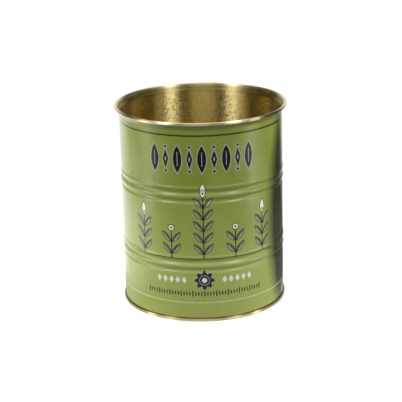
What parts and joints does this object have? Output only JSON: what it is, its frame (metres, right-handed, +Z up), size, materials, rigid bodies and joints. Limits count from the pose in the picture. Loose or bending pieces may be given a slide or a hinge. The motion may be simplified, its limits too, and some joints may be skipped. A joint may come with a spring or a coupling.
{
  "type": "storage tin",
  "caption": "Open-topped cylindrical tinplate pot with printed wall, rolled beads, curled mouth and a double-seamed gold-lacquered base",
  "frame": {"origin": "middle of the flat ring under the double seam that the tin stands on", "axes": "+Z up along the tin's own axis, the front of the print faces -Y, the welded side seam is at +X"},
  "size_m": [0.1344, 0.1344, 0.158],
  "materials": {
    "printed_tinplate": "olive green print under gloss varnish outside, gold lacquer inside and on the curl",
    "gold_lacquered_tinplate": "gold lacquer over bright tinplate, satin",
    "sealing_compound": "matt cured rubber compound"
  },
  "bodies": {
    "root": {"tin_body": "printed_tinplate", "base_end": "gold_lacquered_tinplate", "sealing_compound": "sealing_compound"}
  },
  "joints": []
}
